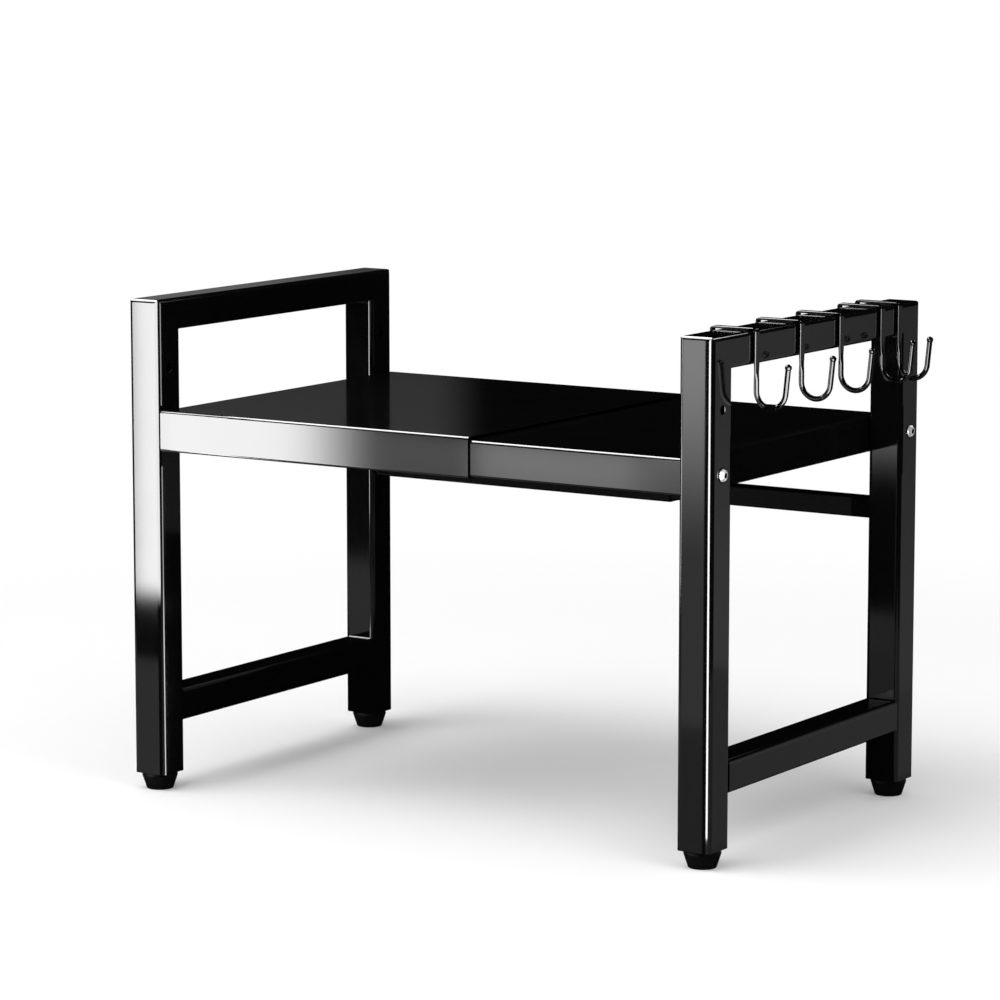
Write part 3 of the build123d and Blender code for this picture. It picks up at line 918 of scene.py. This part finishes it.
# %% Nuts and studs
SHELF_NUT_FLATS, SHELF_NUT_HEIGHT = 10.0, 5.0
STUD_NUT_FLATS, STUD_NUT_HEIGHT = 13.0, 6.5
NUT_PLAY, NUT_BORE_BEVEL = 0.04, 0.35
FACE_SHARE, CHAMFER_SHARE, CHAMFER_SLOPE = 0.455, 0.48, 0.47
STUD_RADIUS, STUD_LENGTH, STUD_PITCH, STUD_GROOVE = 4.0, 26.0, 1.25, 0.68
STUD_TIP, STUD_TIP_SHRINK, STUD_AROUND = 0.6, 0.8, 36
FLANGE_RADIUS, FLANGE_THICKNESS = 9.0, 2.5


def nut_mesh(name, flats, height, bore):
    """A chamfered hexagon nut that stands on z = 0."""
    def cut(radius):
        return max(0.0, (radius - CHAMFER_SHARE * flats) * CHAMFER_SLOPE)
    face = FACE_SHARE * flats
    rings = [ring(bore, NUT_BORE_BEVEL), ring(bore + NUT_BORE_BEVEL, 0.0), ring(face, 0.0),
             ring(hexagon(flats), cut), ring(hexagon(flats), lambda radius: height - cut(radius)),
             ring(face, height), ring(bore + NUT_BORE_BEVEL, height),
             ring(bore, height - NUT_BORE_BEVEL)]
    return turned_mesh(name, rings, is_tube=True)


def stud_mesh():
    """The stud with its flange's top at z = 0, drawn from its tip down."""
    rings = [ring(STUD_RADIUS - STUD_TIP_SHRINK, STUD_LENGTH, STUD_AROUND)]
    rings += thread_rings(STUD_LENGTH - STUD_TIP, STUD_TIP, STUD_RADIUS, STUD_GROOVE, STUD_PITCH,
                          STUD_AROUND)
    rings += [ring(STUD_RADIUS, 0.0, STUD_AROUND), ring(FLANGE_RADIUS, 0.0, STUD_AROUND),
              ring(FLANGE_RADIUS, -FLANGE_THICKNESS, STUD_AROUND)]
    return turned_mesh("foot_stud", rings)


shelf_nut = nut_mesh("shelf_nut", SHELF_NUT_FLATS, SHELF_NUT_HEIGHT, SCREW_RADIUS + NUT_PLAY)
stud_nut = nut_mesh("stud_nut", STUD_NUT_FLATS, STUD_NUT_HEIGHT, STUD_RADIUS + NUT_PLAY)
stud = stud_mesh()
print(len(stud.vertices), "vertices in a stud and", len(stud_nut.vertices), "in its nut")

# %% [markdown]
# Each piece goes where its CAD node is. The node's box gives the place, so nothing is fitted by
# eye, and the piece rides on the same body as the node that it stands for.

# %% Placing a piece
UPRIGHT = Matrix.Identity(4)
QUARTER_TURN = math.pi / 2


def place_piece(name, mesh, at, turn, body, slot, *more_slots):
    piece = bpy.data.objects.new(name, mesh)
    bpy.context.scene.collection.objects.link(piece)
    piece.matrix_world = Matrix.Translation(at) @ turn
    if not mesh.materials:
        for finish_name in (slot, *more_slots):
            mesh.materials.append(FINISHES[finish_name])
    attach(piece, body)
    return piece


def box_of(node):
    low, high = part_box(node)
    return Vector(low), Vector(high)


def middle_of(node):
    low, high = box_of(node)
    return (low + high) / 2


print("left shelf screws round x =", round(middle_of("left_shelf_screws").x, 3), "m")

# %% [markdown]
# On each post there are a screw with its ring and its nut, and a spare hole with a rim in both
# walls. The right corner's card and the hook card also light the right screws and the rims beside
# them, so these join the two cards' collections.

# %% Screws, rings, rims and shelf nuts
def dress_post(side, end):
    sign = 1 if side == "right" else -1
    corner, body = side + "_" + end, side + "_half"
    outward = Matrix.Rotation(sign * QUARTER_TURN, 4, "Y")
    inward = Matrix.Rotation(-sign * QUARTER_TURN, 4, "Y")
    low, high = box_of(side + "_shelf_screws")
    nut_low, nut_high = box_of(side + "_shelf_nuts")
    face_x = high.x - MM * HEAD_HEIGHT if side == "right" else low.x + MM * HEAD_HEIGHT
    nut_x = nut_high.x if side == "right" else nut_low.x
    y = low.y + MM * HEAD_RADIUS if end == "front" else high.y - MM * HEAD_RADIUS
    at = Vector((face_x, y, (low.z + high.z) / 2))

    screw_piece = place_piece(corner + "_shelf_screw", screw, at, outward, body,
                              "screw_chrome", "socket_painted_shade")
    # the black ring round the head is a painted shadow
    place_piece(corner + "_screw_shade_ring", shade_ring, at, outward, body, "foot_rubber")
    nut_piece = place_piece(corner + "_shelf_nut", shelf_nut, Vector((nut_x, y, at.z)), inward, body,
                            "zinc_steel")
    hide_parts(side + "_shelf_screws")
    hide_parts(side + "_shelf_nuts")

    hole = at + Vector((0, 0, MM * HOLE_ABOVE_SCREW))
    inner_hole = hole - Vector((sign * MM * TUBE, 0, 0))
    rim_piece = place_piece(corner + "_outer_hole_rim", rim, hole, outward, body, "frame_black")
    place_piece(corner + "_inner_hole_rim", rim, inner_hole, inward, body, "frame_black")
    if side == "right":
        for card_name in ("right_corner_card", "hook_card"):
            lit_by[card_name].objects.link(screw_piece)
            lit_by[card_name].objects.link(rim_piece)


for side in SIDES:
    for end in ENDS:
        dress_post(side, end)
print("four posts dressed")

# %% [markdown]
# Each foot's stud is measured from its tip, and it moves with the foot. Its nut sits in the plug
# of the post and stays with the side frame.

# %% Studs and their nuts
def dress_foot(side, end):
    corner = side + "_" + end
    stud_at = middle_of(corner + "_foot_stud")
    stud_at.z = box_of(corner + "_foot_stud")[1].z - MM * STUD_LENGTH
    stud_piece = place_piece(corner + "_threaded_stud", stud, stud_at, UPRIGHT, corner + "_foot",
                             "zinc_steel")
    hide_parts(corner + "_foot_stud")
    nut_at = middle_of(corner + "_plug_nut")
    nut_at.z = box_of(corner + "_plug_nut")[0].z
    nut_piece = place_piece(corner + "_stud_nut", stud_nut, nut_at, UPRIGHT, side + "_half",
                            "zinc_steel")
    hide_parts(corner + "_plug_nut")


for side in SIDES:
    for end in ENDS:
        dress_foot(side, end)
print("four feet dressed")
